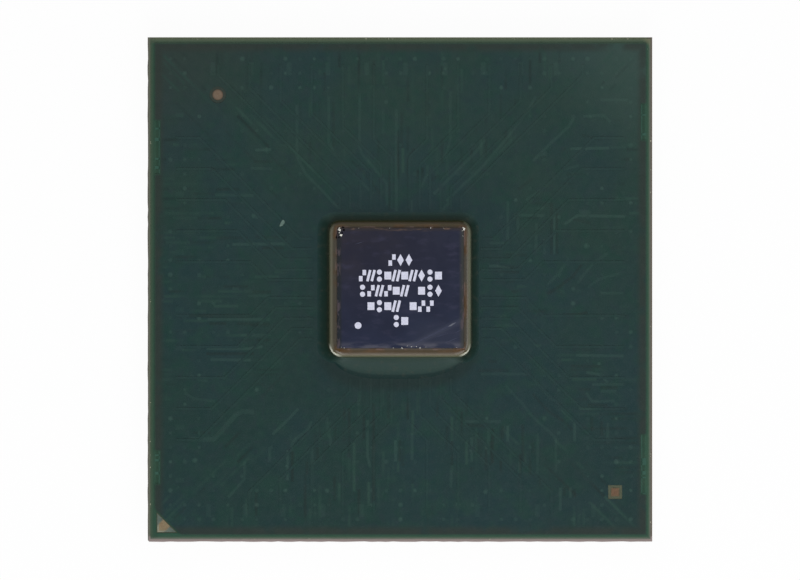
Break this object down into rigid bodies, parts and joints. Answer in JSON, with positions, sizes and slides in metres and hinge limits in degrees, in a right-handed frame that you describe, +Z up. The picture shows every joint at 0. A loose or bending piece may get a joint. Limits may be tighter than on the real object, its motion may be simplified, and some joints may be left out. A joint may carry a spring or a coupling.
{
  "type": "flip-chip ball grid array controller chip",
  "caption": "Square bare-die flip-chip package with laminate substrate, underfilled silicon die, bare corner marks and a solder ball grid underneath.",
  "frame": {"origin": "centre of the square footprint on the plane of the ball tips", "axes": "+Z up through the bare die; the pin 1 corner is at -X -Y; +Y is the picture's upper side"},
  "size_m": [0.035, 0.035, 0.0025],
  "materials": {
    "solder_mask": "satin dark green solder mask",
    "buildup_film": "matte tan-olive resin film",
    "laminate": "sawn glass-epoxy laminate",
    "copper": "bare copper foil",
    "mark_metal": "thin gold-copper finish",
    "silicon": "polished silicon back",
    "solder": "satin tin alloy",
    "underfill_resin": "glossy dark filled epoxy"
  },
  "bodies": {
    "root": {"bottom_mask": "solder_mask", "bottom_film": "buildup_film", "laminate_core": "laminate", "inner_film": "buildup_film", "copper_plane": "copper", "outer_film": "buildup_film", "top_tracks": "copper", "top_mask": "solder_mask", "round_mark": "mark_metal", "square_mark": "mark_metal", "corner_mark": "mark_metal", "die": "silicon", "die_bumps": "solder", "underfill": "underfill_resin", "corner_balls": "solder", "outer_balls": "solder", "center_balls": "solder"}
  },
  "joints": []
}
